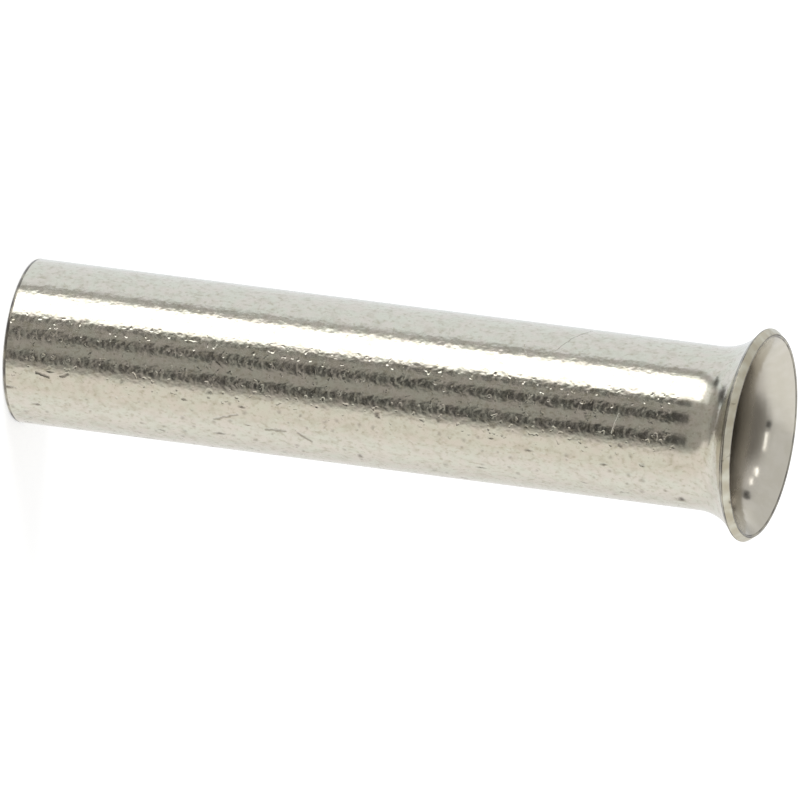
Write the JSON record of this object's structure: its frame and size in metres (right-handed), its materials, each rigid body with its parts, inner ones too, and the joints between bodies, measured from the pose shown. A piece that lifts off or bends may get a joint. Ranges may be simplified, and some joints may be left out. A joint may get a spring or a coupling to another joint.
{
  "type": "wire ferrule",
  "caption": "Bare tin-plated crimp sleeve with a belled mouth, which gathers the strands of a stripped conductor before it goes into a terminal.",
  "frame": {"origin": "centre of the cut end, in the plane that the sleeve stands on", "axes": "+Z along the tube, from the cut end up to the belled mouth; the sleeve is round, so X and Y are any pair square to it"},
  "size_m": [0.0042, 0.0042, 0.015],
  "materials": {
    "tin_plate": "bright tin plating on copper, warm silver, finely pitted and scuffed from bulk packing"
  },
  "bodies": {
    "root": {"ferrule_sleeve": "tin_plate"}
  },
  "joints": []
}
